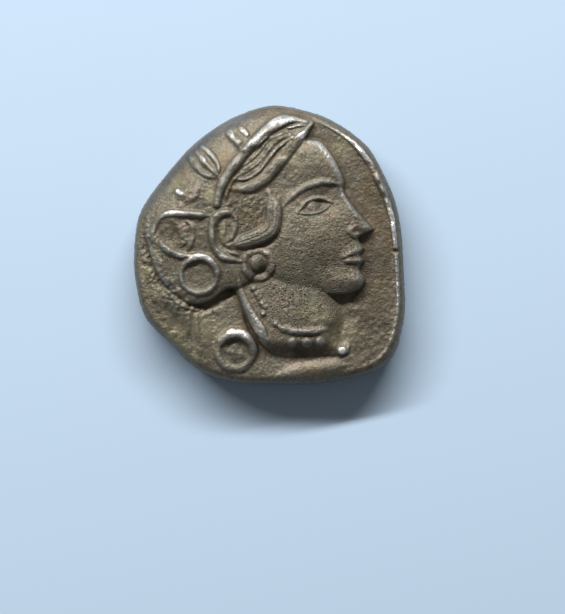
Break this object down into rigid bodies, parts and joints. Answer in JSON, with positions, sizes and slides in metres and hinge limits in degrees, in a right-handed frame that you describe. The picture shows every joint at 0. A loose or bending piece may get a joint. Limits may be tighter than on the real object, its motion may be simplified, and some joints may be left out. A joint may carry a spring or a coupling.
{
  "type": "ancient silver tetradrachm coin",
  "caption": "Thick hand-struck silver coin with a helmeted head in high relief on one side and an owl in a sunken square on the other.",
  "frame": {"origin": "under the middle of the coin, on the plane that its reverse rests on", "axes": "+Z out of the obverse, +Y to the top of the head, +X to the side that the head faces"},
  "size_m": [0.023, 0.0236, 0.0056],
  "materials": {
    "toned_silver": "struck silver, worn on its high points, with a grey-brown toning and warm deposits in its recesses"
  },
  "bodies": {
    "root": {"coin": "toned_silver"}
  },
  "joints": []
}
